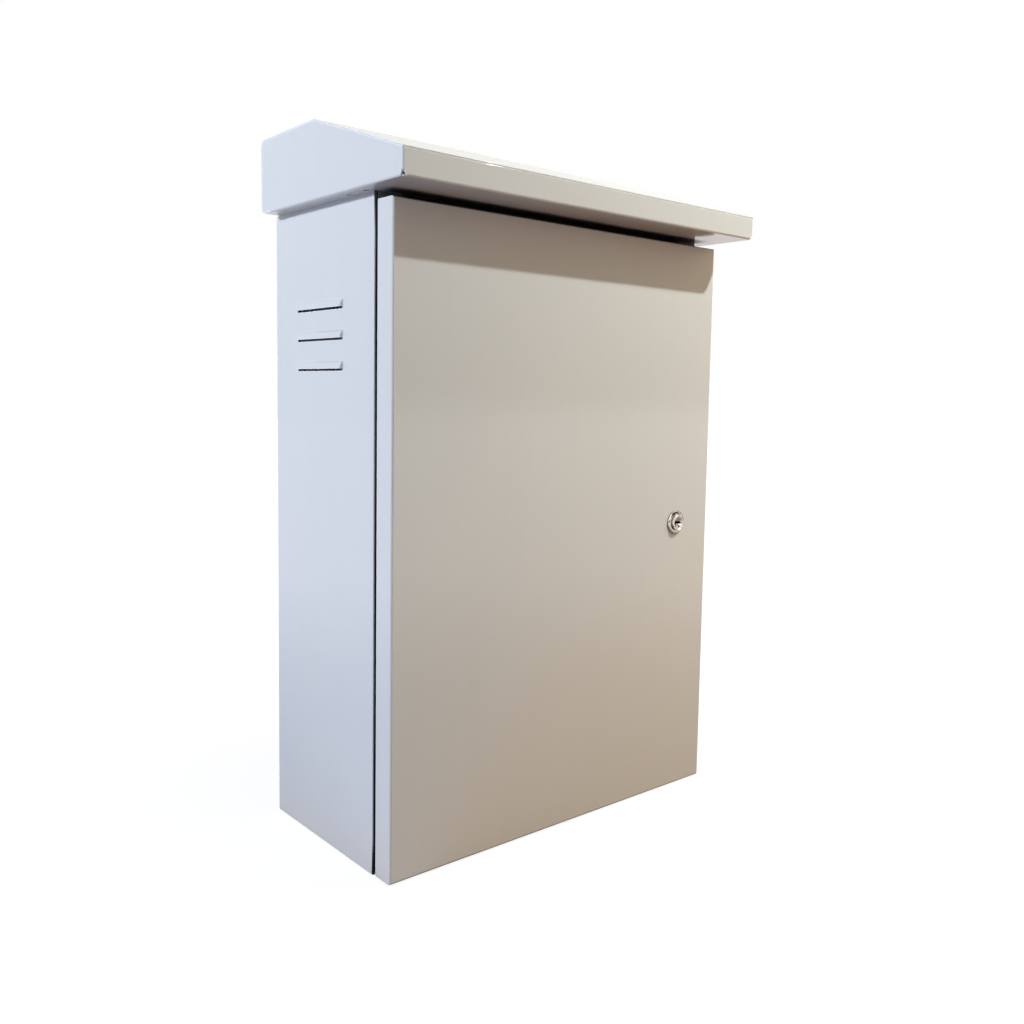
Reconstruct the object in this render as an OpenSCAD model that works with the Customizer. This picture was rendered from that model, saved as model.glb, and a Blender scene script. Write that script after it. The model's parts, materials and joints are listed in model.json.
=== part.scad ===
// Wall or post mounted roadside utility cabinet: a folded steel body with pressed louvres,
// an overhanging sloped roof hood and a front door on concealed hinges with a cam lock.
// Millimetres. The front faces -Y, +X is to the right seen from the front, +Z is up.
// The origin is on the floor, below the middle of the whole cabinet with its roof.

/* [Body] */
// Outer width of the body and of the door
body_w = 420; // [340:1:600]
// Height of the body, from its underside to the roof's soffit
body_h = 608; // [480:1:900]
// Depth of the body, without the door
body_d = 185; // [150:1:300]
// Thickness of the painted steel sheet
sheet_t = 1.5; // [1:0.1:2]
// Inside radius of the sheet's ordinary bends
bend_r = 0.5; // [0.4:0.1:2]
// Width of the front flange, from the side's outer face to the inner face of the sealing lip
flange_w = 28; // [26:0.5:40]
// Height of the sealing lip in front of the flange
lip_h = 17; // [12:0.5:17.5]

/* [Door] */
// Depth of the door pan
door_d = 23.5; // [22:0.5:30]
// Gap between the door pan and the body
door_gap = 4.5; // [3.5:0.5:6]
// Clearance between the door and the floor
door_floor = 1; // [1:0.5:6]
// Clearance between the door and the soffit
door_head = 8; // [3:0.5:20]
// Width of the foam gasket
gasket_w = 12; // [8:0.5:16]
// Clearance between the gasket and the lip
gasket_clear = 0.3; // [0.2:0.1:0.6]
// Width of the raised web of the door's stiffening channel
stiffener_w = 26; // [16:1:40]
// Width of the channel's welded feet
stiffener_foot = 13; // [8:1:20]
// Height of the channel
stiffener_h = 11; // [6:0.5:14]
// Distance of the channel's ends from the door's top and bottom
stiffener_end = 70; // [45:1:120]

/* [Roof] */
// Overhang of the roof past each side
roof_side = 16; // [10:1:30]
// Overhang of the roof in front of the door
roof_front = 39; // [20:1:60]
// Distance that the roof stops short of the wall plane
roof_back = 2; // [1:0.5:3.5]
// Height of the front fascia
fascia_h = 23.5; // [15:0.5:40]
// Height of the ridge above the soffit
roof_rise = 71; // [50:1:100]
// Fall of the flat part from the ridge to the back
roof_fall = 1; // [0:0.5:15]
// Distance of the ridge from the roof's back face
ridge_back = 106; // [60:1:130]
// Inside radius of the ridge and of the back bend
ridge_r = 4; // [2:0.5:8]
// Inside radius of the lower back bend
lower_r = 5; // [1:0.5:6.5]
// Width of the returns where they lie on the body's top
return_w = 22; // [21:1:30]
// Width of the relief cut where three bends meet at each lower front corner
relief_w = 4.5; // [3:0.5:8]
// Height of that relief cut
relief_h = 5.5; // [4:0.5:12]
// Diameter of the two drain holes in each side return
drain_d = 5.5; // [3:0.5:6]
// Distance of the drain holes' middles outside the body's side
drain_out = 4; // [3.5:0.5:8]
// Distance of the first drain hole behind the body's front plane
drain_first = 8; // [4:1:20]
// Distance between the drain holes
drain_step = 28; // [15:1:60]

/* [Louvres] */
// Number of louvres on each side
louvre_count = 3; // [1:1:6]
// Length of a louvre
louvre_l = 87; // [50:1:110]
// Vertical distance between louvres
louvre_pitch = 28; // [20:1:40]
// Distance of the highest louvre's mouth below the soffit
louvre_drop = 95; // [60:1:160]
// Distance of the louvres' middle from the body's back face
louvre_back = 88; // [70:1:95]
// Height of a pressed hood
louvre_h = 7; // [6:0.5:16]
// Distance that a hood stands out from the side
louvre_out = 3; // [2.5:0.5:6]
// Height of the slit left open below the hood
louvre_slit = 1.8; // [1:0.2:4]
// Length of the sloping end of a hood
louvre_end = 1.5; // [1:0.5:8]
// Thickness of the insect screen
screen_t = 0.8; // [0.5:0.1:1.2]
// Diameter of the holes in the insect screen
screen_hole = 3; // [2:0.5:4]
// Distance between the holes in the insect screen
screen_pitch = 8; // [6:1:12]
// Margin of the screen round the louvres
screen_rim = 8; // [6:1:14]

/* [Hinges] */
// Distance of the hinge axis in from the side's outer face
hinge_in = 9; // [8.5:0.1:9.2]
// Distance of the hinge axis in front of the body's front plane
hinge_out = 16; // [15.5:0.1:17]
// Height of a hinge
hinge_h = 60; // [45:1:90]
// Height of the fixed middle knuckle
knuckle_h = 24; // [16:1:30]
// Outer diameter of the knuckles
knuckle_d = 10; // [9:0.5:10]
// Diameter of the hinge pin
pin_d = 6; // [4:0.5:6]
// Thickness of the hinge leaves
leaf_t = 2; // [1.5:0.1:2]
// Height of the lower hinge's middle
hinge_low = 100; // [70:1:160]
// Distance of the upper hinge's middle below the door's top
hinge_high = 100; // [70:1:160]
// Radial running clearance of the pin in the fixed knuckle
pin_clear = 0.05; // [0.02:0.01:0.1]
// Radial clearance of the pin in the door's knuckles
pin_fit = 0.02; // [0.01:0.01:0.05]
// Axial clearance between the knuckles
knuckle_clear = 0.4; // [0.3:0.1:1]

/* [Lock] */
// Distance of the lock from the door's opening edge
lock_in = 52; // [48:1:70]
// Height of the lock above the door's middle
lock_up = -1.5; // [-60:0.5:60]
// Diameter of the lock's bezel
bezel_d = 26; // [22:0.5:32]
// Thickness of the bezel at its nose
bezel_t = 2; // [1.5:0.5:5]
// Thickness of the bezel at its rim
bezel_edge = 0.6; // [0.4:0.1:1.2]
// Diameter of the raised nose in the bezel
nose_d = 17.5; // [15:0.5:19]
// Height of the nose on the bezel
nose_h = 2.5; // [1:0.5:6]
// Diameter of the threaded barrel
barrel_d = 19; // [18:0.5:20]
// Distance across the barrel's flats
barrel_flat = 16.5; // [15:0.5:17]
// Diameter of the key plug
plug_d = 13; // [12.5:0.5:13]
// Radial running clearance of the plug
plug_clear = 0.05; // [0.02:0.01:0.1]
// Diameter of the conical dish in the plug's face
dish_d = 12; // [8:0.5:12]
// Depth of that dish
dish_depth = 2.5; // [0.5:0.1:3]
// Chamfer of the nose's and the plug's edges
lock_chamfer = 0.5; // [0.2:0.1:0.8]
// Length of the key slot
key_l = 8.5; // [6:0.5:9.5]
// Width of the key slot
key_w = 2.8; // [1.4:0.1:3]
// Depth of the key slot
key_depth = 9; // [5:0.5:14]
// Reach of the cam from the lock's axis
cam_l = 37; // [32:1:44]
// Width of the cam
cam_w = 16; // [13:0.5:18]
// Thickness of the cam
cam_t = 2.5; // [2:0.1:3]
// Clearance between the cam and what it passes
cam_clear = 1.6; // [0.4:0.1:2]
// Side of the square tail that drives the cam
tail_w = 7.5; // [6.5:0.5:8]
// Clearance round the square tail and the barrel's flats
flat_clear = 0.1; // [0.05:0.05:0.2]

/* [Inside] */
// Distance of the mounting plate's edges in from the body's sides
plate_side = 45; // [42:1:70]
// Distance of the mounting plate's edges from the body's top and bottom
plate_end = 56; // [54:1:90]
// Thickness of the mounting plate
plate_t = 2; // [1.5:0.1:3]
// Space behind the mounting plate
plate_gap = 15; // [10:1:30]
// Distance of the mounting studs in from the plate's edges
stud_in = 15; // [12:1:30]
// Diameter of the mounting studs
stud_d = 8; // [6:1:8]
// Outer diameter of the spacers on the mounting studs
spacer_d = 14; // [12:1:18]
// Diameter of the wall bolt holes
wall_hole_d = 10; // [8:0.5:12]
// Distance of the wall bolt holes in from the body's sides
wall_hole_side = 30; // [28:1:34]
// Distance of the wall bolt holes from the body's underside
wall_hole_low = 34; // [30:1:44]
// Distance of the wall bolt holes from the soffit
wall_hole_high = 40; // [36:1:46]
// Width of the cable entry in the bottom
entry_w = 220; // [120:1:280]
// Depth of the cable entry in the bottom
entry_d = 80; // [50:1:100]
// Width of the gland plate's rim round the cable entry
gland_rim = 20; // [16:1:22]
// Thickness of the gland plate's seal
seal_t = 2; // [1:0.5:4]
// Diameter of the small studs and bolts
bolt_d = 6; // [5:0.5:6]
// Clearance of a bolt or stud in a hole
hole_clear = 0.3; // [0.2:0.1:0.6]
// Clearance of a nut on its thread
nut_clear = 0.05; // [0.02:0.01:0.1]
// Distance of the roof bolts in from the body's sides
roof_bolt_side = 60; // [45:1:120]

/* [Hidden] */
$fn = 64;

paint = [0.80, 0.80, 0.77];
zinc = [0.68, 0.70, 0.70];
chrome = [0.75, 0.76, 0.78];
rubber = [0.10, 0.10, 0.11];
black = [0.08, 0.08, 0.09];

half_w = body_w / 2;
back_y = (roof_front + door_d + door_gap + body_d) / 2;
front_y = back_y - body_d;
middle_y = (front_y + back_y) / 2;
mid_r = bend_r + sheet_t / 2;
turn_r = bend_r + sheet_t;

door_back_y = front_y - door_gap;
door_front_y = door_back_y - door_d;
door_in_y = door_front_y + sheet_t;
door_top = body_h - door_head;
door_h = door_top - door_floor;

lip_x = half_w - flange_w;
lip_low = door_floor + flange_w;
lip_high = door_top - flange_w;
lip_y = front_y - lip_h;

roof_front_y = door_front_y - roof_front;
roof_back_y = back_y - roof_back;
ridge_y = roof_back_y - ridge_back;
roof_half = half_w + roof_side;
front_return_y = front_y + return_w;
back_return_y = back_y - return_w;
side_return_x = half_w - return_w;
front_bolt_y = front_y + return_w / 2;
back_bolt_y = (back_return_y + roof_back_y - lower_r - sheet_t) / 2;

hinge_x = -half_w + hinge_in;
hinge_y = front_y - hinge_out;
hinge_top = door_top - hinge_high;

lock_x = half_w - lock_in;
lock_z = (door_floor + door_top) / 2 + lock_up;
lock_front = bezel_t + nose_h;
cam_y = front_y + sheet_t + cam_clear;
barrel_end_y = cam_y - cam_clear / 2;

plate_x = half_w - plate_side;
plate_back_y = back_y - sheet_t - plate_gap;
plate_front_y = plate_back_y - plate_t;
stud_x = plate_x - stud_in;
stud_low = plate_end + stud_in;
stud_high = body_h - plate_end - stud_in;

nut_h = 0.8 * bolt_d;
nut_wide = 1.9 * bolt_d;
stud_nut_h = 0.8 * stud_d;
stud_nut_wide = 1.8 * stud_d;
washer_t = 1.2;
lock_nut_h = barrel_d / 4;
lock_nut_wide = 1.45 * barrel_d;

louvre_y = back_y - louvre_back;
louvre_z = body_h - louvre_drop - (louvre_count - 1) * louvre_pitch;
screen_low = louvre_z - louvre_slit - screen_rim;
screen_high = louvre_z + (louvre_count - 1) * louvre_pitch + louvre_h + screen_rim;
screen_l = louvre_l + 2 * screen_rim;

function unit(v) = v / norm(v);
function left_of(v) = [-v[1], v[0]];
function right_of(v) = [v[1], -v[0]];
function reversed(list) = [for (i = [len(list) - 1 : -1 : 0]) list[i]];

// Path moved to its right by t, with sharp corners
function moved_right(path, t) = [
    for (i = [0 : len(path) - 1])
        let (
            before = right_of(unit(i == 0 ? path[1] - path[0] : path[i] - path[i - 1])),
            after = right_of(unit(i == len(path) - 1 ? path[i] - path[i - 1] : path[i + 1] - path[i]))
        )
        path[i] + (before + after) * t / (1 + before * after)
];

// Points of the arc of radius r that rounds the corner b, for a path that turns to the right
function corner_arc(a, b, c, r, steps = 8) =
    let (
        into = unit(b - a),
        out = unit(c - b),
        angle = acos(into * out),
        centre = b - into * r * tan(angle / 2) + right_of(into) * r
    )
    [for (i = [0 : steps])
        let (s = angle * i / steps)
        centre + left_of(into) * r * cos(s) + into * r * sin(s)];

function rounded_path(path, radii) = [
    path[0],
    for (i = [1 : len(path) - 2])
        each corner_arc(path[i - 1], path[i], path[i + 1], radii[i]),
    path[len(path) - 1]
];

// Straight length of a folded strip between two points of its middle line
module strip_leg(a, b, cut_a, cut_b) {
    along = unit(b - a);
    start = a + along * cut_a;
    end = b - along * cut_b;
    across = left_of(along) * sheet_t / 2;
    polygon([start - across, end - across, end + across, start + across]);
}

// Round bend of a folded strip at its corner b
module strip_bend(a, b, c) {
    start = b - unit(b - a) * mid_r;
    end = b + unit(c - b) * mid_r;
    centre = start + end - b;
    intersection() {
        translate(centre)
            difference() {
                circle(turn_r);
                circle(bend_r);
            }
        polygon([centre, centre + 3 * (start - centre), centre + 3 * (end - centre)]);
    }
}

// Section of a sheet that is folded at right angles along a path of its middle line
module folded_strip(path) {
    last = len(path) - 1;
    for (i = [0 : last - 1])
        strip_leg(path[i], path[i + 1], i == 0 ? 0 : mid_r, i == last - 1 ? 0 : mid_r);
    for (i = [1 : last - 1])
        strip_bend(path[i - 1], path[i], path[i + 1]);
}

// Extrudes a section drawn in Y and Z along X, from x to x + length
module along_x(x, length)
    translate([x, 0, 0])
        rotate([90, 0, 90])
            linear_extrude(height = length)
                children();

// Extrudes a section drawn in X and Z along Y, from y to y + length
module along_y(y, length)
    translate([0, y + length, 0])
        rotate([90, 0, 0])
            linear_extrude(height = length)
                children();

// Puts a shape that is drawn along +Z on the Y axis at y, pointing to the front
module facing_front(y)
    translate([0, y, 0])
        rotate([90, 0, 0])
            children();

// Box between two corners
module block(low, high)
    translate(low)
        cube(high - low);

module hex_nut(wide, high, bore)
    difference() {
        cylinder(d = wide, h = high, $fn = 6);
        translate([0, 0, -1])
            cylinder(d = bore, h = high + 2);
    }

module ring(outer, inner, high)
    difference() {
        cylinder(d = outer, h = high);
        translate([0, 0, -1])
            cylinder(d = inner, h = high + 2);
    }

// Bulge of a louvre pressed towards -X from the plane x = 0, with its mouth at z = 0 and its root at x = root
module louvre_bulge(length, high, out, root) {
    round_r = (high * high + out * out) / (2 * out);
    side = length / 2;
    intersection() {
        along_y(-side, length) {
            intersection() {
                translate([round_r - out, 0])
                    circle(round_r, $fn = 128);
                translate([-out, 0])
                    square([out, high]);
            }
            square([root, high]);
        }
        linear_extrude(height = high)
            polygon([
                [root, -side], [0, -side], [-out, -side + louvre_end],
                [-out, side - louvre_end], [0, side], [root, side]
            ]);
    }
}

// Opening behind a louvre, through the side sheet whose outer face is the plane x = 0
module louvre_mouth() {
    inner_l = louvre_l - 2 * sheet_t;
    louvre_bulge(inner_l, louvre_h - sheet_t, louvre_out - sheet_t, 2 * sheet_t);
    block([-sheet_t, -inner_l / 2, -louvre_slit], [2 * sheet_t, inner_l / 2, sheet_t]);
}

// Places one child at each louvre of the left side
module at_louvres()
    for (i = [0 : louvre_count - 1])
        translate([-half_w, louvre_y, louvre_z + i * louvre_pitch])
            children();

module on_both_sides() {
    children();
    mirror([1, 0, 0])
        children();
}

module at_wall_holes()
    for (x = [-1, 1] * (half_w - wall_hole_side), z = [wall_hole_low, body_h - wall_hole_high])
        translate([x, 0, z])
            children();

module at_mounting_studs()
    for (x = [-1, 1] * stud_x, z = [stud_low, stud_high])
        translate([x, 0, z])
            children();

module at_roof_bolts()
    for (x = [-1, 1] * (half_w - roof_bolt_side), y = [front_bolt_y, back_bolt_y])
        translate([x, y, 0])
            children();

module at_gland_studs()
    for (x = [-1, 1] * (entry_w + gland_rim) / 2, y = [-1, 1] * (entry_d + gland_rim) / 2)
        translate([x, middle_y + y, 0])
            children();

// Opening of the cable entry, between two heights
module cable_entry(low, high)
    block([-entry_w / 2, middle_y - entry_d / 2, low], [entry_w / 2, middle_y + entry_d / 2, high]);

// Sides, back, front flanges and side lips, folded from one sheet
module body_wrap() {
    t = sheet_t / 2;
    side = [
        [lip_x + t, lip_y],
        [lip_x + t, front_y + t],
        [half_w - t, front_y + t],
        [half_w - t, back_y - t]
    ];
    mirrored = [for (p = reversed(side)) [-p[0], p[1]]];
    color(paint)
        difference() {
            union() {
                linear_extrude(height = body_h)
                    folded_strip(concat(side, mirrored));
                on_both_sides()
                    at_louvres()
                        louvre_bulge(louvre_l, louvre_h, louvre_out, sheet_t / 2);
            }
            block([-half_w, lip_y - 1, -1], [half_w, front_y, lip_low]);
            block([-half_w, lip_y - 1, lip_high], [half_w, front_y, body_h + 1]);
            on_both_sides()
                at_louvres()
                    louvre_mouth();
            at_wall_holes()
                facing_front(back_y + 1)
                    cylinder(d = wall_hole_d, h = 2 * sheet_t + 1);
        }
}

// Folded section of the top or bottom: the plate, its front flange and its lip
module end_section(plate_z, lip_z) {
    folded_strip([
        [back_y - sheet_t, plate_z],
        [front_y + sheet_t / 2, plate_z],
        [front_y + sheet_t / 2, lip_z],
        [lip_y, lip_z]
    ]);
}

// Keeps the front flange and lip of an end plate between the side flanges, and its corners out of the bends
module trimmed_end() {
    inner = half_w - sheet_t;
    difference() {
        children();
        on_both_sides() {
            block([lip_x, lip_y - 1, -1], [inner + 1, front_y + sheet_t, body_h + 1]);
            for (y = [front_y, back_y - turn_r])
                block([inner - bend_r, y, -1], [inner + 1, y + turn_r, body_h + 1]);
        }
    }
}

module top_plate() {
    color(paint)
        difference() {
            trimmed_end()
                along_x(-half_w + sheet_t, body_w - 2 * sheet_t)
                    end_section(body_h - sheet_t / 2, lip_high - sheet_t / 2);
            at_roof_bolts()
                translate([0, 0, body_h - 2 * sheet_t])
                    cylinder(d = bolt_d + 2 * hole_clear, h = 3 * sheet_t);
        }
}

module bottom_plate() {
    color(paint)
        difference() {
            trimmed_end()
                along_x(-half_w + sheet_t, body_w - 2 * sheet_t)
                    end_section(sheet_t / 2, lip_low + sheet_t / 2);
            cable_entry(-1, sheet_t + 1);
        }
}

// Plate round the cable entry with a hole for each of its studs
module gland_layer(low, high) {
    x = entry_w / 2 + gland_rim;
    y = entry_d / 2 + gland_rim;
    difference() {
        block([-x, middle_y - y, low], [x, middle_y + y, high]);
        at_gland_studs()
            translate([0, 0, low - 1])
                cylinder(d = bolt_d + 2 * hole_clear, h = high - low + 2);
    }
}

module gland_seal()
    color(rubber)
        difference() {
            gland_layer(sheet_t, sheet_t + seal_t);
            cable_entry(0, sheet_t + seal_t + 1);
        }

module gland_plate()
    color(paint)
        gland_layer(sheet_t + seal_t, 2 * sheet_t + seal_t);

module gland_studs()
    color(zinc)
        at_gland_studs()
            translate([0, 0, sheet_t])
                cylinder(d = bolt_d, h = seal_t + sheet_t + nut_h + bolt_d / 2);

module gland_nuts()
    color(zinc)
        at_gland_studs()
            translate([0, 0, 2 * sheet_t + seal_t])
                hex_nut(nut_wide, nut_h, bolt_d + 2 * nut_clear);

// Perforated screen behind the louvres of the left side
module vent_screen() {
    rows = floor((screen_high - screen_low - screen_rim) / screen_pitch);
    columns = floor((screen_l - screen_rim) / screen_pitch);
    middle_z = (screen_low + screen_high) / 2;
    x = -half_w + sheet_t;
    difference() {
        block([x, louvre_y - screen_l / 2, screen_low], [x + screen_t, louvre_y + screen_l / 2, screen_high]);
        for (row = [0 : rows - 1], column = [0 : columns - 1])
            translate([
                x - 1,
                louvre_y + (column - (columns - 1) / 2) * screen_pitch,
                middle_z + (row - (rows - 1) / 2) * screen_pitch
            ])
                rotate([0, 90, 0])
                    cylinder(d = screen_hole, h = screen_t + 2, $fn = 16);
    }
}

module vent_screen_left()
    color(black)
        vent_screen();

module vent_screen_right()
    color(black)
        mirror([1, 0, 0])
            vent_screen();

module mounting_plate()
    color(zinc)
        difference() {
            block([-plate_x, plate_front_y, plate_end], [plate_x, plate_back_y, body_h - plate_end]);
            at_mounting_studs()
                facing_front(plate_back_y + 1)
                    cylinder(d = stud_d + 2 * hole_clear, h = plate_t + 2);
        }

module mounting_studs()
    color(zinc)
        at_mounting_studs()
            facing_front(back_y - sheet_t)
                cylinder(d = stud_d, h = plate_gap + plate_t + washer_t + stud_nut_h + stud_d / 2);

module mounting_spacers()
    color(zinc)
        at_mounting_studs()
            facing_front(back_y - sheet_t)
                ring(spacer_d, stud_d + 2 * hole_clear, plate_gap);

// Nut with its washer on a stud
module washered_nut(thread, wide, high) {
    ring(1.15 * wide, thread + 2 * nut_clear, washer_t);
    translate([0, 0, washer_t])
        hex_nut(wide, high, thread + 2 * nut_clear);
}

module mounting_nuts()
    color(zinc)
        at_mounting_studs()
            facing_front(plate_front_y)
                washered_nut(stud_d, stud_nut_wide, stud_nut_h);

// Middle of the earth stud on the back, below the mounting plate
module at_earth_stud()
    translate([-half_w / 2, 0, plate_end / 2])
        facing_front(back_y - sheet_t)
            children();

module earth_stud()
    color(zinc)
        at_earth_stud()
            cylinder(d = stud_d, h = 3 * stud_d);

module earth_nuts()
    color(zinc)
        at_earth_stud()
            washered_nut(stud_d, stud_nut_wide, stud_nut_h);

// Outer line of the roof cover's section, from the fascia's top over the ridge to the back return
cover_path = [
    [roof_front_y, body_h + fascia_h],
    [ridge_y, body_h + roof_rise],
    [roof_back_y, body_h + roof_rise - roof_fall],
    [roof_back_y, body_h],
    [back_return_y, body_h]
];
cover_radii = [0, ridge_r, ridge_r, lower_r, 0];
cover_inner = moved_right(cover_path, sheet_t);

// Hole for a roof bolt through a return
module roof_bolt_holes()
    at_roof_bolts()
        translate([0, 0, body_h - sheet_t])
            cylinder(d = bolt_d + 2 * hole_clear, h = 3 * sheet_t);

// Drain holes through the side return of the left gable
module drain_holes()
    for (i = [0, 1])
        translate([-half_w - drain_out, front_y + drain_first + i * drain_step, body_h - sheet_t])
            cylinder(d = drain_d, h = 3 * sheet_t);

// Space below the cover's inner face, open to the front
module under_cover() {
    slope = (cover_inner[1] - cover_inner[0]) / (cover_inner[1][0] - cover_inner[0][0]);
    ahead = cover_inner[0] - slope * roof_front;
    line = concat([ahead], [for (i = [1 : 4]) cover_inner[i]]);
    below = [[back_return_y, body_h - 1], [ahead[0], body_h - 1]];
    along_x(-roof_half - 1, 2 * roof_half + 2)
        polygon(concat(rounded_path(line, cover_radii), below));
}

// Return along the lower edge of a wall, drawn with the wall's middle line at the first coordinate
module return_section(wall, edge) {
    t = sheet_t / 2;
    folded_strip([[wall, body_h + 3 * turn_r], [wall, body_h + t], [edge, body_h + t]]);
}

// Triangle of the relief cut, with the corner at a and the cut reaching to b
module relief_section(a, b) {
    outside = 2 * a - b;
    top = body_h + relief_h;
    polygon([[outside, body_h - 1], [b, body_h - 1], [b, body_h], [a, top], [outside, top]]);
}

// Fascia, both gables and their returns, folded from one band
module roof_band() {
    t = sheet_t / 2;
    plan = [
        [-roof_half + t, roof_back_y],
        [-roof_half + t, roof_front_y + t],
        [roof_half - t, roof_front_y + t],
        [roof_half - t, roof_back_y]
    ];
    fold_top = body_h + 2 * turn_r;
    fold_x = roof_half - turn_r;
    fold_y = roof_front_y + turn_r;
    color(paint)
        difference() {
            union() {
                difference() {
                    intersection() {
                        translate([0, 0, body_h])
                            linear_extrude(height = roof_rise)
                                folded_strip(plan);
                        under_cover();
                    }
                    block([-fold_x, roof_front_y - 1, body_h - 1], [fold_x, fold_y, fold_top]);
                    block([-roof_half - 1, fold_y, body_h - 1], [roof_half + 1, back_return_y, fold_top]);
                }
                along_x(-fold_x, 2 * fold_x)
                    return_section(roof_front_y + t, front_return_y);
                on_both_sides()
                    along_y(fold_y, back_return_y - fold_y)
                        return_section(-roof_half + t, -side_return_x);
            }
            roof_bolt_holes();
            on_both_sides() {
                drain_holes();
                along_y(roof_front_y - 1, turn_r + 1)
                    relief_section(-roof_half, -roof_half + relief_w);
                along_x(-roof_half - 1, turn_r + 1)
                    relief_section(roof_front_y, roof_front_y + relief_w);
            }
        }
}

// Front slope, flat top, back drop and back return, folded from one sheet that lies on the band
module roof_cover() {
    outer_radii = [for (r = cover_radii) r + sheet_t];
    color(paint)
        difference() {
            along_x(-roof_half, 2 * roof_half)
                polygon(concat(
                    rounded_path(cover_path, outer_radii),
                    reversed(rounded_path(cover_inner, cover_radii))
                ));
            roof_bolt_holes();
        }
}

module roof_bolts() {
    head_h = 0.65 * bolt_d;
    color(zinc)
        at_roof_bolts()
            translate([0, 0, body_h - sheet_t - washer_t - head_h]) {
                cylinder(d = bolt_d, h = head_h + washer_t + 2 * sheet_t + nut_h + bolt_d / 3);
                translate([0, 0, head_h])
                    cylinder(d = 2 * bolt_d, h = washer_t);
                cylinder(d = nut_wide, h = head_h, $fn = 6);
            }
}

module roof_nuts()
    color(zinc)
        at_roof_bolts()
            translate([0, 0, body_h + sheet_t])
                hex_nut(nut_wide, nut_h, bolt_d + 2 * nut_clear);

// Fixed half of a hinge: a foot on the lip, an arm and the middle knuckle
module hinge_bracket(z) {
    foot_x = -lip_x - sheet_t;
    t = leaf_t / 2;
    translate([0, 0, z])
        difference() {
            union() {
                block([foot_x - leaf_t, lip_y, -hinge_h / 2], [foot_x, front_y - bend_r, hinge_h / 2]);
                block([hinge_x, hinge_y - t, -knuckle_h / 2], [foot_x, hinge_y + t, knuckle_h / 2]);
                translate([hinge_x, hinge_y, -knuckle_h / 2])
                    cylinder(d = knuckle_d, h = knuckle_h);
            }
            translate([hinge_x, hinge_y, -knuckle_h])
                cylinder(d = pin_d + 2 * pin_clear, h = 2 * knuckle_h);
        }
}

// Moving half of a hinge: a leaf on the door's side flange and the two outer knuckles
module hinge_leaf(z) {
    leaf_x = -half_w + sheet_t;
    leaf_end = hinge_y + knuckle_d / 2;
    knuckle_l = (hinge_h - knuckle_h) / 2 - knuckle_clear;
    translate([0, 0, z])
        difference() {
            union() {
                block([leaf_x, door_in_y + bend_r, -hinge_h / 2], [leaf_x + leaf_t, leaf_end, hinge_h / 2]);
                for (low = [-hinge_h / 2, knuckle_h / 2 + knuckle_clear]) {
                    translate([hinge_x, hinge_y, low])
                        cylinder(d = knuckle_d, h = knuckle_l);
                    block([leaf_x, hinge_y - leaf_t, low], [hinge_x, hinge_y + leaf_t, low + knuckle_l]);
                }
            }
            translate([hinge_x, hinge_y, -hinge_h])
                cylinder(d = pin_d + 2 * pin_fit, h = 2 * hinge_h);
        }
}

module hinge_pin(z)
    translate([hinge_x, hinge_y, z - hinge_h / 2]) {
        cylinder(d = pin_d, h = hinge_h);
        translate([0, 0, hinge_h])
            cylinder(d = knuckle_d - 1, h = leaf_t);
    }

module hinge_bracket_lower()
    color(zinc)
        hinge_bracket(hinge_low);

module hinge_bracket_upper()
    color(zinc)
        hinge_bracket(hinge_top);

module hinge_leaf_lower()
    color(zinc)
        hinge_leaf(hinge_low);

module hinge_leaf_upper()
    color(zinc)
        hinge_leaf(hinge_top);

module hinge_pin_lower()
    color(chrome)
        hinge_pin(hinge_low);

module hinge_pin_upper()
    color(chrome)
        hinge_pin(hinge_top);

// Section of a pan with its front on the line y = 0 and its two front corners rounded
module pan_section(width, depth, r) {
    translate([-width / 2, r])
        square([width, depth - r]);
    translate([-width / 2 + r, 0])
        square([width - 2 * r, r]);
    for (s = [-1, 1])
        translate([s * (width / 2 - r), r])
            intersection() {
                circle(r);
                translate([s < 0 ? -r : 0, -r])
                    square(r);
            }
}

// Solid pan whose front face and four front edges are those of a folded door
module pan(width, high, depth, r)
    intersection() {
        translate([0, 0, -high / 2])
            linear_extrude(height = high)
                pan_section(width, depth, r);
        along_x(-width / 2, width)
            rotate(-90)
                pan_section(high, depth, r);
    }

// Outline of the lock's barrel with its two flats, in X and Z
module barrel_outline(clear)
    intersection() {
        circle(d = barrel_d + 2 * clear);
        square([barrel_flat + 2 * clear, 2 * barrel_d], center = true);
    }

module door_panel()
    color(paint)
        difference() {
            translate([0, door_front_y, door_floor + door_h / 2])
                pan(body_w, door_h, door_d, turn_r);
            translate([0, door_in_y, door_floor + door_h / 2])
                pan(body_w - 2 * sheet_t, door_h - 2 * sheet_t, door_d, bend_r);
            translate([lock_x, 0, lock_z])
                along_y(door_front_y - 1, sheet_t + 2)
                    barrel_outline(flat_clear);
        }

// Hat-shaped channel welded upright to the door's inside
module door_stiffener() {
    t = sheet_t / 2;
    web = stiffener_w / 2 - t;
    foot = stiffener_w / 2 + stiffener_foot;
    half = [[foot, door_in_y + t], [web, door_in_y + t], [web, door_in_y + stiffener_h - t]];
    mirrored = [for (p = reversed(half)) [-p[0], p[1]]];
    color(paint)
        translate([0, 0, door_floor + stiffener_end])
            linear_extrude(height = door_h - 2 * stiffener_end)
                folded_strip(concat(half, mirrored));
}

module door_gasket() {
    x = lip_x + sheet_t / 2;
    low = lip_low + sheet_t / 2;
    high = lip_high - sheet_t / 2;
    g = gasket_w / 2;
    rear = lip_y - gasket_clear;
    color(rubber)
        difference() {
            block([-x - g, door_in_y, low - g], [x + g, rear, high + g]);
            block([-x + g, door_in_y - 1, low + g], [x - g, rear + 1, high - g]);
        }
}

// Middle of the door's earth stud, near its lower hinge
module at_door_earth_stud()
    translate([-half_w + 2 * flange_w, door_in_y, lip_low + flange_w])
        rotate([-90, 0, 0])
            children();

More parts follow.
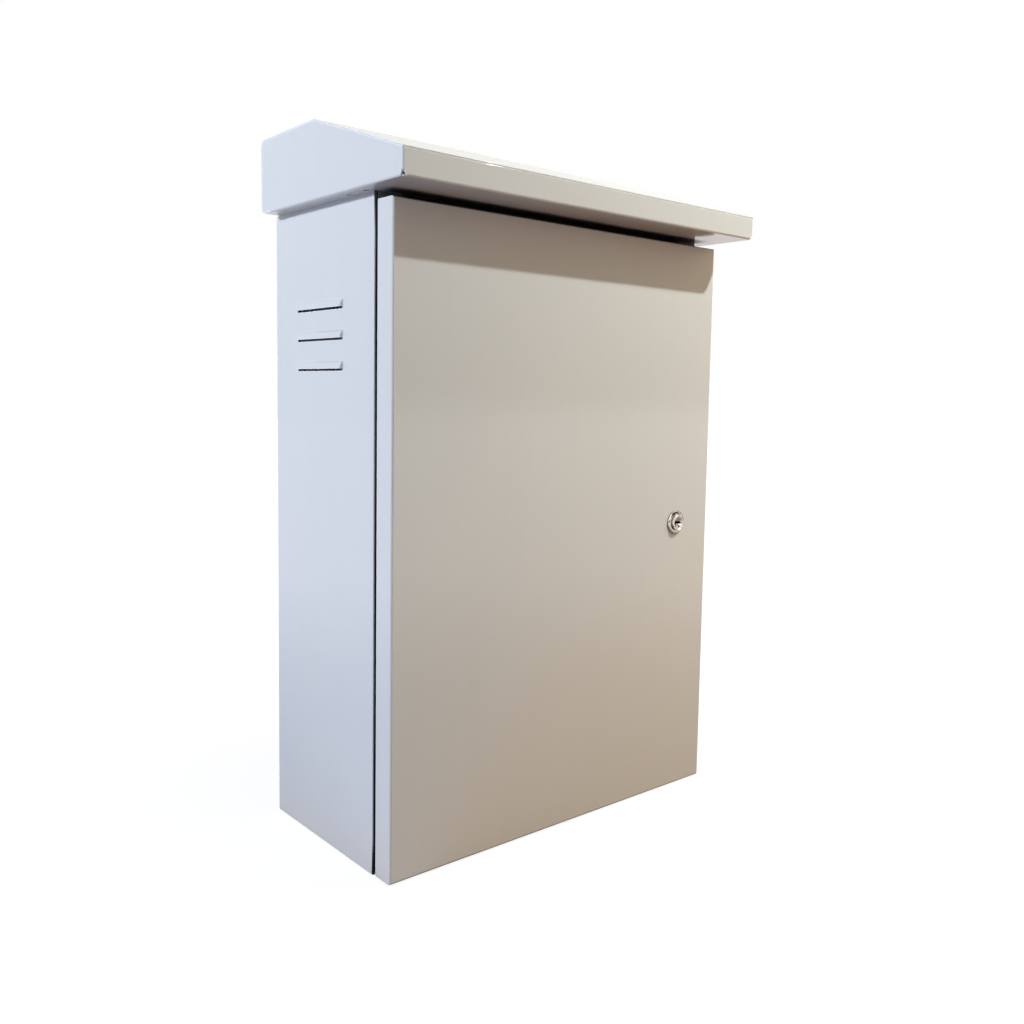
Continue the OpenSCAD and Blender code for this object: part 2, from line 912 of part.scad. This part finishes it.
module door_earth_stud()
    color(zinc)
        at_door_earth_stud()
            cylinder(d = bolt_d, h = 3 * bolt_d);

module door_earth_nuts()
    color(zinc)
        at_door_earth_stud()
            washered_nut(bolt_d, nut_wide, nut_h);

// Turns a section drawn in radius and distance from the door's face round the lock's axis
module lock_turned()
    translate([lock_x, door_front_y, lock_z])
        rotate([90, 0, 0])
            rotate_extrude()
                children();

// Bezel with a domed rim and a raised nose, and the barrel through the door
module lock_housing() {
    bore = plug_d / 2 + plug_clear;
    rim = bezel_d / 2;
    nose = nose_d / 2;
    c = lock_chamfer;
    dome = [for (s = [0 : 15 : 90])
        [nose + (rim - nose) * cos(s), bezel_edge + (bezel_t - bezel_edge) * sin(s)]];
    face = [
        [nose, lock_front - c], [nose - c, lock_front],
        [bore + c, lock_front], [bore, lock_front - c]
    ];
    color(chrome)
        difference() {
            union() {
                lock_turned()
                    polygon(concat([[bore, 0], [rim, 0]], dome, face));
                translate([lock_x, 0, lock_z])
                    along_y(door_front_y - bezel_t / 2, barrel_end_y - door_front_y + bezel_t / 2)
                        barrel_outline(0);
            }
            translate([lock_x, 0, lock_z])
                facing_front(barrel_end_y + 1)
                    cylinder(r = bore, h = barrel_end_y - door_front_y + lock_front + 2);
        }
}

module lock_washer()
    color(zinc)
        translate([lock_x, 0, lock_z])
            facing_front(door_in_y + washer_t)
                ring(lock_nut_wide, barrel_d + 2 * flat_clear, washer_t);

module lock_nut()
    color(zinc)
        translate([lock_x, 0, lock_z])
            facing_front(door_in_y + washer_t + lock_nut_h)
                hex_nut(lock_nut_wide, lock_nut_h, barrel_d + 2 * nut_clear);

// Key plug with a dished face, a level key slot, a square tail for the cam and a screw hole
module lock_plug() {
    face = lock_front - lock_chamfer;
    face_y = door_front_y - face;
    dish_r = dish_d / 2;
    screw = bolt_d - 1;
    color(chrome)
        difference() {
            translate([lock_x, 0, lock_z])
                difference() {
                    union() {
                        facing_front(cam_y)
                            cylinder(d = plug_d, h = cam_y - face_y);
                        block([-tail_w / 2, cam_y - 1, -tail_w / 2], [tail_w / 2, cam_y + cam_t, tail_w / 2]);
                    }
                    block([-key_l / 2, face_y - 1, -key_w / 2], [key_l / 2, face_y + key_depth, key_w / 2]);
                    facing_front(cam_y + cam_t + 1)
                        cylinder(d = screw + 2 * nut_clear, h = 2 * screw + 1);
                }
            lock_turned()
                polygon([[0, face - dish_depth], [dish_r, face], [dish_r, face + 1], [0, face + 1]]);
        }
}

// Flat cam that stands upright when the door is free to open
module lock_cam()
    color(zinc)
        translate([lock_x, 0, lock_z])
            along_y(cam_y, cam_t)
                difference() {
                    union() {
                        circle(d = cam_w + 2);
                        translate([-cam_w / 2, 0])
                            square([cam_w, cam_l - cam_w / 2]);
                        translate([0, cam_l - cam_w / 2])
                            circle(d = cam_w);
                    }
                    square(tail_w + 2 * flat_clear, center = true);
                }

module cam_screw() {
    screw = bolt_d - 1;
    head_h = 0.7 * screw;
    washer_y = cam_y + cam_t + washer_t;
    color(zinc)
        translate([lock_x, 0, lock_z]) {
            facing_front(washer_y)
                cylinder(d = screw, h = washer_t + 2 * screw - 1);
            facing_front(washer_y)
                cylinder(d = cam_w - 3, h = washer_t);
            facing_front(washer_y + head_h)
                cylinder(d = 1.8 * screw, h = head_h + washer_t / 2, $fn = 6);
        }
}

body_wrap();
top_plate();
bottom_plate();
gland_plate();
gland_seal();
gland_studs();
gland_nuts();
vent_screen_left();
vent_screen_right();
mounting_plate();
mounting_studs();
mounting_spacers();
mounting_nuts();
earth_stud();
earth_nuts();
roof_band();
roof_cover();
roof_bolts();
roof_nuts();
hinge_bracket_lower();
hinge_bracket_upper();
door_panel();
door_stiffener();
door_gasket();
door_earth_stud();
door_earth_nuts();
hinge_leaf_lower();
hinge_leaf_upper();
hinge_pin_lower();
hinge_pin_upper();
lock_housing();
lock_washer();
lock_nut();
lock_plug();
lock_cam();
cam_screw();
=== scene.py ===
import json
import math
import bpy
from mathutils import Matrix, Vector


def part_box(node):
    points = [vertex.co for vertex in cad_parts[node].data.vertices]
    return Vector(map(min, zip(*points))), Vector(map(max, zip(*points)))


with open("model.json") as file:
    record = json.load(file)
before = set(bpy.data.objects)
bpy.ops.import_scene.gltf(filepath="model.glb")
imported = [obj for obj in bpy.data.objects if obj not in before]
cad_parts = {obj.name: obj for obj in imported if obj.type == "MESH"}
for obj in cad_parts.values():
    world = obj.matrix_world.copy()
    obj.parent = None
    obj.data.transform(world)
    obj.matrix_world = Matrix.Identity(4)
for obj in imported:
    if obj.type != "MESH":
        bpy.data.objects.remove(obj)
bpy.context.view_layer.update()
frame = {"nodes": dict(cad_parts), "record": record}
print("frame loaded:", len(frame["nodes"]), "nodes")


class Wire:  # a socket of a node tree that takes part in sums
    def __init__(self, tree, socket=None):
        self.tree = tree
        self.socket = socket

    def node(self, kind, settings=None, sockets=None, out=0):  # out is an output's name or number
        made = self.tree.nodes.new(kind)
        for name, value in (settings or {}).items():
            setattr(made, name, value)
        for name, value in (sockets or {}).items():
            target = made.inputs[name]
            if isinstance(value, Wire):
                self.tree.links.new(value.socket, target)
            else:
                target.default_value = value
        return Wire(self.tree, made.outputs[out] if made.outputs else None)

    def sum(self, operation, first, second):
        return self.node("ShaderNodeMath", {"operation": operation}, {0: first, 1: second})

    def __add__(self, other):
        return self.sum("ADD", self, other)

    def __radd__(self, other):
        return self.sum("ADD", other, self)

    def __sub__(self, other):
        return self.sum("SUBTRACT", self, other)

    def __rsub__(self, other):
        return self.sum("SUBTRACT", other, self)

    def __mul__(self, other):
        return self.sum("MULTIPLY", self, other)

    def __rmul__(self, other):
        return self.sum("MULTIPLY", other, self)

    def __truediv__(self, other):
        return self.sum("DIVIDE", self, other)

    def __rtruediv__(self, other):
        return self.sum("DIVIDE", other, self)

    def clamped(self):
        return self.node("ShaderNodeClamp", None, {"Value": self})

    def centred(self):  # a noise of 0 to 1 about zero
        return self - 0.5

    def larger(self, other):
        return self.sum("MAXIMUM", self, other)

    def part(self, axis):  # one coordinate of a vector
        return self.node("ShaderNodeSeparateXYZ", None, {0: self}, axis)

    def stretched(self, scale):
        return self.node("ShaderNodeVectorMath", {"operation": "MULTIPLY"}, {0: self, 1: scale})

    def noise(self, scale, detail):
        return self.node("ShaderNodeTexNoise", None, {"Vector": self, "Scale": scale, "Detail": detail})

    def blend(self, first, second):  # colours mixed by this value
        return self.node("ShaderNodeMix", {"data_type": "RGBA"}, {0: self, 6: first, 7: second}, 2)

    def shaderMix(self, first, second):  # shaders mixed by this value
        return self.node("ShaderNodeMixShader", None, {0: self, 1: first, 2: second})

    def openness(self, distance):  # 1 on open faces, falling to 0 deep in gaps and corners
        return self.node("ShaderNodeAmbientOcclusion", {"samples": 8}, {"Distance": distance}, "AO")

    def bump(self, strength, distance, under=None):
        sockets = {"Height": self, "Strength": strength, "Distance": distance}
        if under is not None:
            sockets["Normal"] = under
        return self.node("ShaderNodeBump", None, sockets)


def rgb(tone):  # a screen colour of 0 to 255 as a linear one
    def linear(value):
        value = value / 255
        return value / 12.92 if value <= 0.04045 else ((value + 0.055) / 1.055) ** 2.4
    return (*(linear(value) for value in tone), 1)


def newFinish(name):
    material = bpy.data.materials.new(name)
    material.use_nodes = True
    tree = material.node_tree
    tree.nodes.clear()
    return material, Wire(tree)


def objectPlace(w):  # metres, in the frame of the whole cabinet
    return w.node("ShaderNodeTexCoord", None, None, "Object")


def closeFinish(w, sockets):
    shader = w.node("ShaderNodeBsdfPrincipled", None, sockets)
    w.node("ShaderNodeOutputMaterial", None, {"Surface": shader})


cameraSettings = {
    "place": (-0.6675, -0.7988, 0.4378),
    "yaw": 40.639,  # from +Y towards +X
    "down": 5.036,
    "roll": 0.994,
    "focal": 986.64,  # pixels of the picture
    "centre": (528.08, 480.02),
    "picture": 1024,
    "sensor": 36,
    "nearest": 0.01,
}


def makeCamera(s):
    yaw, down, roll = (math.radians(s[k]) for k in ("yaw", "down", "roll"))
    forward = Vector((math.sin(yaw) * math.cos(down), math.cos(yaw) * math.cos(down), -math.sin(down)))
    level = Vector((math.cos(yaw), -math.sin(yaw), 0))
    upright = level.cross(forward)
    right = level * math.cos(roll) + upright * math.sin(roll)
    up = upright * math.cos(roll) - level * math.sin(roll)
    data = bpy.data.cameras.new("photoCamera")
    data.sensor_width = s["sensor"]
    data.lens = s["focal"] * s["sensor"] / s["picture"]
    data.shift_x = 0.5 - s["centre"][0] / s["picture"]
    data.shift_y = s["centre"][1] / s["picture"] - 0.5
    data.clip_start = s["nearest"]
    data.dof.use_dof = False
    camera = bpy.data.objects.new("photoCamera", data)
    bpy.context.scene.collection.objects.link(camera)
    turned = Matrix((right, up, -forward)).transposed().to_4x4()
    camera.matrix_world = Matrix.Translation(s["place"]) @ turned
    bpy.context.scene.camera = camera


makeCamera(cameraSettings)
print("camera set")


# in the finishes, a noise is its scale to the metre and its detail, a bump its strength and its depth
paintSettings = {
    "tone": (206, 206, 201),
    "toneCloud": (202, 203, 199),
    "cloud": (7, 4),
    "peel": (340, 3),
    "grain": (1500, 2),
    "peelShare": 0.75,  # the rest of the bump is grain
    "bump": (0.2, 0.00005),
    "dust": (176, 168, 152),
    "dustFrom": 0.55,  # how far a face looks up before dust stays on it
    "dustRise": 2.2,
    "dustLeast": 0.15,
    "dustCloud": 0.5,
    "streakStretch": (70, 70, 4),
    "streakDetail": 3,
    "streakDust": 0.12,
    # painted highlight that is partly wear: a paler tone on the edges and bends
    "edge": (240, 241, 240),
    "edgeReach": 0.0015,
    "edgeRise": 6,
    "edgeLeast": 0.4,
    "edgeShare": 0.8,
    "edgeRadius": 0.0005,  # rounds the shading at sharp edges
    # painted shade: a near black laid into gaps and corners by their openness
    "gapShade": (9, 8, 8),
    "gapDepth": 0.035,
    "gapStart": 0.44,  # openness below which the painted shade darkens the gaps
    "gapUnder": 0.15,  # by so much later on faces that look down
    "gapBend": 0.5,  # by so much earlier on the bend behind the door, painted shade in the door gap
    "gapRise": 8,
    "bendReach": 0.003,
    "bendRise": 4000,
    "roughness": 0.1,
    "roughCloud": 0.06,
    "roughDust": 0.3,
    "roughGapShade": 0.4,
    "ior": 1.5,
}


def makePaint(name, s, shadedBendAt=None):  # powder coat: orange peel, dust, paler edges as a painted highlight that is partly wear, painted shade in the gaps
    material, w = newFinish(name)
    place = objectPlace(w)
    facing = w.node("ShaderNodeTexCoord", None, None, "Normal").part("Z")
    cloud = place.noise(*s["cloud"])
    peel = place.noise(*s["peel"])
    grain = place.noise(*s["grain"])
    streak = place.stretched(s["streakStretch"]).noise(1, s["streakDetail"])

    # edges are where a normal taken over some distance turns away from the face's own; they are made paler, a
    # painted highlight that is partly wear
    shape = w.node("ShaderNodeNewGeometry", None, None, "Normal")
    softened = w.node("ShaderNodeBevel", {"samples": 8}, {"Radius": s["edgeReach"]})
    turn = w.node("ShaderNodeVectorMath", {"operation": "DOT_PRODUCT"}, {0: softened, 1: shape}, "Value")
    edge = ((1 - turn) * s["edgeRise"] * (s["edgeLeast"] + cloud)).clamped()

    upward = ((facing - s["dustFrom"]) * s["dustRise"]).clamped()
    dust = upward * (s["dustLeast"] + cloud * s["dustCloud"])
    dust = (dust + streak.centred().clamped() * s["streakDust"]).clamped()

    # painted shade: gaps and corners darken to near black by their openness, less on faces that look down
    start = s["gapStart"] - (0 - facing).clamped() * s["gapUnder"]
    # painted shade: darker sooner on the body's bend behind the door
    if shadedBendAt is not None:
        side, front = shadedBendAt
        across = place.part("X")
        outward = across.larger(0 - across)
        beside = ((outward - side + s["bendReach"]) * s["bendRise"]).clamped()
        before = ((front - place.part("Y")) * s["bendRise"]).clamped()
        start = start + beside * before * s["gapBend"]
    gapShade = ((start - w.openness(s["gapDepth"])) * s["gapRise"]).clamped()

    base = cloud.blend(rgb(s["tone"]), rgb(s["toneCloud"]))
    base = dust.blend(base, rgb(s["dust"]))
    base = (edge * s["edgeShare"]).blend(base, rgb(s["edge"]))
    base = gapShade.blend(base, rgb(s["gapShade"]))
    rough = s["roughness"] + cloud.centred() * s["roughCloud"]
    rough = rough + dust * s["roughDust"] + gapShade * s["roughGapShade"]
    rounded = w.node("ShaderNodeBevel", {"samples": 4}, {"Radius": s["edgeRadius"]})
    height = peel * s["peelShare"] + grain * (1 - s["peelShare"])
    normal = height.bump(*s["bump"], rounded)
    closeFinish(w, {"Base Color": base, "Roughness": rough, "Normal": normal, "IOR": s["ior"]})
    return material


zincSettings = {
    "tone": (186, 189, 190),
    "tint": (196, 190, 172),
    "tintShare": 0.6,
    "cloud": (60, 4),
    "brushStretch": (900, 900, 60),
    "brushDetail": 2,
    "bump": (0.2, 0.00004),
    "roughness": 0.36,
    "roughCloud": 0.2,
    "roughBrush": 0.12,
}


def makeZinc(s):  # bright zinc plating with a faint yellow passivation
    material, w = newFinish("zincPlate")
    place = objectPlace(w)
    cloud = place.noise(*s["cloud"])
    brushed = place.stretched(s["brushStretch"]).noise(1, s["brushDetail"])
    base = (cloud * s["tintShare"]).blend(rgb(s["tone"]), rgb(s["tint"]))
    rough = s["roughness"] + cloud.centred() * s["roughCloud"] + brushed.centred() * s["roughBrush"]
    normal = brushed.bump(*s["bump"])
    closeFinish(w, {"Base Color": base, "Roughness": rough, "Normal": normal, "Metallic": 1.0})
    return material


spangleSettings = {
    "dark": (150, 154, 158),
    "light": (192, 195, 197),
    "size": 90,  # crystals to the metre
    "cellShare": 0.7,
    "cloud": (30, 3),
    "cloudShare": 0.3,
    "roughness": 0.42,
    "roughCell": 0.18,
}


def makeSpangle(s):  # galvanised sheet with zinc crystals
    material, w = newFinish("galvanisedSheet")
    place = objectPlace(w)
    cloud = place.noise(*s["cloud"])
    cells = w.node("ShaderNodeTexVoronoi", None, {"Vector": place, "Scale": s["size"]}, "Color")
    shade = cells.part("X")
    mixed = (shade * s["cellShare"] + cloud * s["cloudShare"]).clamped()
    base = mixed.blend(rgb(s["dark"]), rgb(s["light"]))
    rough = s["roughness"] + shade.centred() * s["roughCell"]
    closeFinish(w, {"Base Color": base, "Roughness": rough, "Metallic": 1.0})
    return material


chromeSettings = {
    "tone": (216, 207, 195),
    "smear": (188, 176, 160),
    "smearNoise": (180, 3),
    "smearShare": 0.5,
    "smearFrom": 0.4,  # noise above which the smears dull the gloss
    "scratchStretch": (400, 400, 5000),
    "scratchDetail": 2,
    "bump": (0.08, 0.00002),
    # painted shade: a dark brown laid into the creases by their openness
    "creaseShade": (20, 15, 12),
    "creaseDepth": 0.006,
    "creaseStart": 0.72,  # openness below which the painted shade darkens the creases
    "creaseRise": 4,
    "roughness": 0.08,
    "roughSmear": 0.12,
    "roughCreaseShade": 0.2,
}


def makeChrome(s):  # polished nickel with fine scratches and painted shade in its creases
    material, w = newFinish("lockChrome")
    place = objectPlace(w)
    smear = place.noise(*s["smearNoise"])
    scratch = place.stretched(s["scratchStretch"]).noise(1, s["scratchDetail"])
    # painted shade in the creases
    creaseShade = ((s["creaseStart"] - w.openness(s["creaseDepth"])) * s["creaseRise"]).clamped()
    base = (smear * s["smearShare"]).blend(rgb(s["tone"]), rgb(s["smear"]))
    base = creaseShade.blend(base, rgb(s["creaseShade"]))
    dulled = (smear - s["smearFrom"]).clamped()
    rough = s["roughness"] + dulled * s["roughSmear"] + creaseShade * s["roughCreaseShade"]
    normal = scratch.bump(*s["bump"])
    closeFinish(w, {"Base Color": base, "Roughness": rough, "Normal": normal, "Metallic": 1.0})
    return material


rubberSettings = {
    "tone": (38, 38, 40),
    "pale": (58, 57, 56),
    "cloud": (25, 3),
    "cloudShare": 0.5,
    "cell": (1100, 3),
    "cellShare": 0.3,
    "bump": (0.5, 0.0002),
    "roughness": 0.82,
    "roughCell": 0.2,
}


def makeRubber(s):  # fine-celled foam
    material, w = newFinish("sealRubber")
    place = objectPlace(w)
    cell = place.noise(*s["cell"])
    cloud = place.noise(*s["cloud"])
    paled = (cloud * s["cloudShare"] + cell * s["cellShare"]).clamped()
    base = paled.blend(rgb(s["tone"]), rgb(s["pale"]))
    rough = s["roughness"] + cell.centred() * s["roughCell"]
    normal = cell.bump(*s["bump"])
    closeFinish(w, {"Base Color": base, "Roughness": rough, "Normal": normal})
    return material


screenSettings = {
    # painted shade: the near black paint makes the louvre slits in front of it read dark
    "tone": (20, 20, 22),
    "worn": (46, 46, 48),
    "wornFrom": 0.3,  # noise above which the paint is worn
    "cloud": (45, 4),
    "grain": (1300, 2),
    "bump": (0.3, 0.00005),
    "roughness": 0.55,
    "roughCloud": 0.2,
}


def makeScreen(s):  # matt black paint, worn a little paler; the black is painted shade that darkens the louvre slits
    material, w = newFinish("screenBlackShade")
    place = objectPlace(w)
    cloud = place.noise(*s["cloud"])
    grain = place.noise(*s["grain"])
    base = (cloud - s["wornFrom"]).clamped().blend(rgb(s["tone"]), rgb(s["worn"]))
    rough = s["roughness"] + cloud.centred() * s["roughCloud"]
    normal = grain.bump(*s["bump"])
    closeFinish(w, {"Base Color": base, "Roughness": rough, "Normal": normal})
    return material


sideSlack = 0.00005  # how near a point lies to the side that it belongs to
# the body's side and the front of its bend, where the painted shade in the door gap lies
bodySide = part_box("door_panel")[1][0]  # the body is as wide as the door
bodyPoints = [vertex.co for vertex in frame["nodes"]["body_wrap"].data.vertices]
bodyBend = min(point.y for point in bodyPoints if abs(point.x - bodySide) < sideSlack)
print("body side and bend:", round(bodySide, 4), round(bodyBend, 4))
finishes = {
    "paint": makePaint("cabinetPaint", paintSettings),
    # the body's paint adds painted shade on its bend behind the door
    "bodyPaintBendShade": makePaint("bodyPaintBendShade", paintSettings, (bodySide, bodyBend)),
    "zinc": makeZinc(zincSettings),
    "spangle": makeSpangle(spangleSettings),
    "chrome": makeChrome(chromeSettings),
    "rubber": makeRubber(rubberSettings),
    "screen": makeScreen(screenSettings),
}
slotFinish = {
    "cabinet_paint": "paint",
    "zinc_steel": "zinc",
    "lock_chrome": "chrome",
    "seal_rubber": "rubber",
    "screen_black": "screen",
}
nodeFinish = {part["node"]: slotFinish[part["material_slot"]] for part in frame["record"]["subparts"]}
nodeFinish["mounting_plate"] = "spangle"
nodeFinish["body_wrap"] = "bodyPaintBendShade"
for name, piece in frame["nodes"].items():
    piece.data.materials.clear()
    piece.data.materials.append(finishes[nodeFinish[name]])
print("finishes made:", len(finishes))


stageSettings = {
    "reach": 12.0,
    "drop": 0.0004,
    "warmGround": (168, 122, 84),  # lights the front from below
    "coolGround": (170, 176, 196),  # lights the left side from below
    "coolFrom": -0.1,  # left of this the ground is cool
    "coolRise": 4,
    "white": 1.12,
    "pale": (0.8, 0.8, 0.8, 1),  # takes the shadow
    "shadow": 0.25,  # share of the floor that shows the shadow
    "shadowReach": 1.6,
    "mirrorGround": (128, 112, 98),
    "nearReach": 0.9,  # the gloss mirrors the ground near the cabinet
    "nearFade": 1.6,
}


def seenRays(w):  # 1 for the rays that should meet the white background
    kinds = ("Is Camera Ray", "Is Glossy Ray", "Is Transmission Ray")
    camera, glossy, through = (w.node("ShaderNodeLightPath", None, None, kind) for kind in kinds)
    return camera.larger(glossy).larger(through)


def stagePlane(name, corners, material):
    mesh = bpy.data.meshes.new(name)
    mesh.from_pydata(corners, [], [(0, 1, 2, 3)])
    mesh.materials.append(material)
    plane = bpy.data.objects.new(name, mesh)
    bpy.context.scene.collection.objects.link(plane)
    return plane


def makeFloor(s):  # white to the eye, with the shadow; warm or cool ground to the light that it sends up
    material, w = newFinish("paleFloor")
    glossy = w.node("ShaderNodeLightPath", None, None, "Is Glossy Ray")
    place = w.node("ShaderNodeNewGeometry", None, None, "Position")
    away = w.node("ShaderNodeVectorMath", {"operation": "LENGTH"}, {0: place}, "Value")
    shadowed = (1 - away / s["shadowReach"]).clamped() * s["shadow"]
    mirrored = (s["nearFade"] - away / s["nearReach"]).clamped() * glossy
    leftward = ((s["coolFrom"] - place.part("X")) * s["coolRise"]).clamped()
    tones = (s["pale"], rgb(s["warmGround"]), rgb(s["mirrorGround"]), rgb(s["coolGround"]))
    pale, warm, dull, cool = (w.node("ShaderNodeBsdfDiffuse", None, {"Color": tone}) for tone in tones)
    white = w.node("ShaderNodeEmission", None, {"Color": (1, 1, 1, 1), "Strength": s["white"]})
    ground = leftward.shaderMix(glossy.shaderMix(warm, dull), cool)
    bright = shadowed.shaderMix(white, pale)
    mixed = (seenRays(w) - mirrored).shaderMix(ground, bright)
    w.node("ShaderNodeOutputMaterial", None, {"Surface": mixed})
    r = s["reach"]
    low = -s["drop"]
    stagePlane("floor", [(-r, -r, low), (r, -r, low), (r, r, low), (-r, r, low)], material)


# what the gloss mirrors: dark at the front right, low in front and at the right, bright higher up in front
cardSettings = {
    "front": {"x": (1.55, 4.8), "y": (-3.2, -3.2), "z": (0.36, 2.2), "tone": (0.05, 0.038, 0.028)},
    "low": {"x": (-1.5, 1.55), "y": (-3.2, -3.2), "z": (0, 0.34), "tone": (0.03, 0.02, 0.014)},
    "right": {"x": (1.5, 1.5), "y": (-0.5, 0.8), "z": (0, 1.4), "tone": (0.06, 0.043, 0.03)},
    "sky": {"x": (-0.8, 1.5), "y": (-3.3, -3.3), "z": (0.5, 3.0), "tone": (1.9, 1.9, 1.9)},
}


def makeCard(name, s):  # upright card that only mirrored rays meet
    material, w = newFinish(name + "Card")
    shade = w.node("ShaderNodeEmission", None, {"Color": (*s["tone"], 1), "Strength": 1.0})
    w.node("ShaderNodeOutputMaterial", None, {"Surface": shade})
    (x0, x1), (y0, y1), (low, high) = s["x"], s["y"], s["z"]
    corners = [(x0, y0, low), (x1, y1, low), (x1, y1, high), (x0, y0, high)]
    card = stagePlane(name + "Card", corners, material)
    card.visible_camera = False
    card.visible_diffuse = False
    card.visible_shadow = False
    card.visible_transmission = False


worldSettings = {
    "cool": (0.30, 0.30, 0.30, 1),
    "warm": (0.12, 0.11, 0.10, 1),
    "middle": 0.5,
    "rise": 0.9,
}


def makeWorld(s):
    world = bpy.data.worlds.new("studio")
    bpy.context.scene.world = world
    world.use_nodes = True
    tree = world.node_tree
    tree.nodes.clear()
    w = Wire(tree)
    way = w.node("ShaderNodeTexCoord", None, None, "Generated")
    side = (s["middle"] + (way.part("X") - way.part("Y")) * s["rise"]).clamped()  # 0 back left, 1 front right
    light = side.blend(s["cool"], s["warm"])
    colour = seenRays(w).blend(light, (1, 1, 1, 1))
    shade = w.node("ShaderNodeBackground", None, {"Color": colour, "Strength": 1.0})
    w.node("ShaderNodeOutputWorld", None, {"Surface": shade})


lampSettings = {
    "key": {
        "place": (0.69, -0.726, 1.53), "aim": (0.0, -0.09, 0.3), "size": 0.04,
        "power": 21.13, "tone": (0.928, 0.983, 1.0), "mirrored": True,
    },
    "coolFill": {
        "place": (-3.0, 0.6, 1.45), "aim": (-0.2, 0.05, 0.3), "size": 0.38,
        "power": 90.5, "tone": (0.745, 0.817, 1.0), "mirrored": False,
    },
    "skyFill": {
        "place": (1.7, -1.0, 1.15), "aim": (0.1, -0.09, 0.45), "size": 1.2,
        "power": 23.2, "tone": (1.0, 0.877, 0.639), "mirrored": False,
    },
}


def makeLamp(name, s):
    data = bpy.data.lights.new(name, "AREA")
    data.shape = "DISK"
    data.size = s["size"]
    data.energy = s["power"]
    data.color = s["tone"]
    lamp = bpy.data.objects.new(name, data)
    bpy.context.scene.collection.objects.link(lamp)
    lamp.location = s["place"]
    lamp.rotation_mode = "QUATERNION"
    lamp.rotation_quaternion = (Vector(s["aim"]) - Vector(s["place"])).to_track_quat("-Z", "Y")
    lamp.visible_camera = False
    lamp.visible_glossy = s["mirrored"]


makeFloor(stageSettings)
for name, settings in cardSettings.items():
    makeCard(name, settings)
makeWorld(worldSettings)
for name, settings in lampSettings.items():
    makeLamp(name, settings)
bpy.context.scene.view_settings.view_transform = "Standard"
print("stage and lamps set")
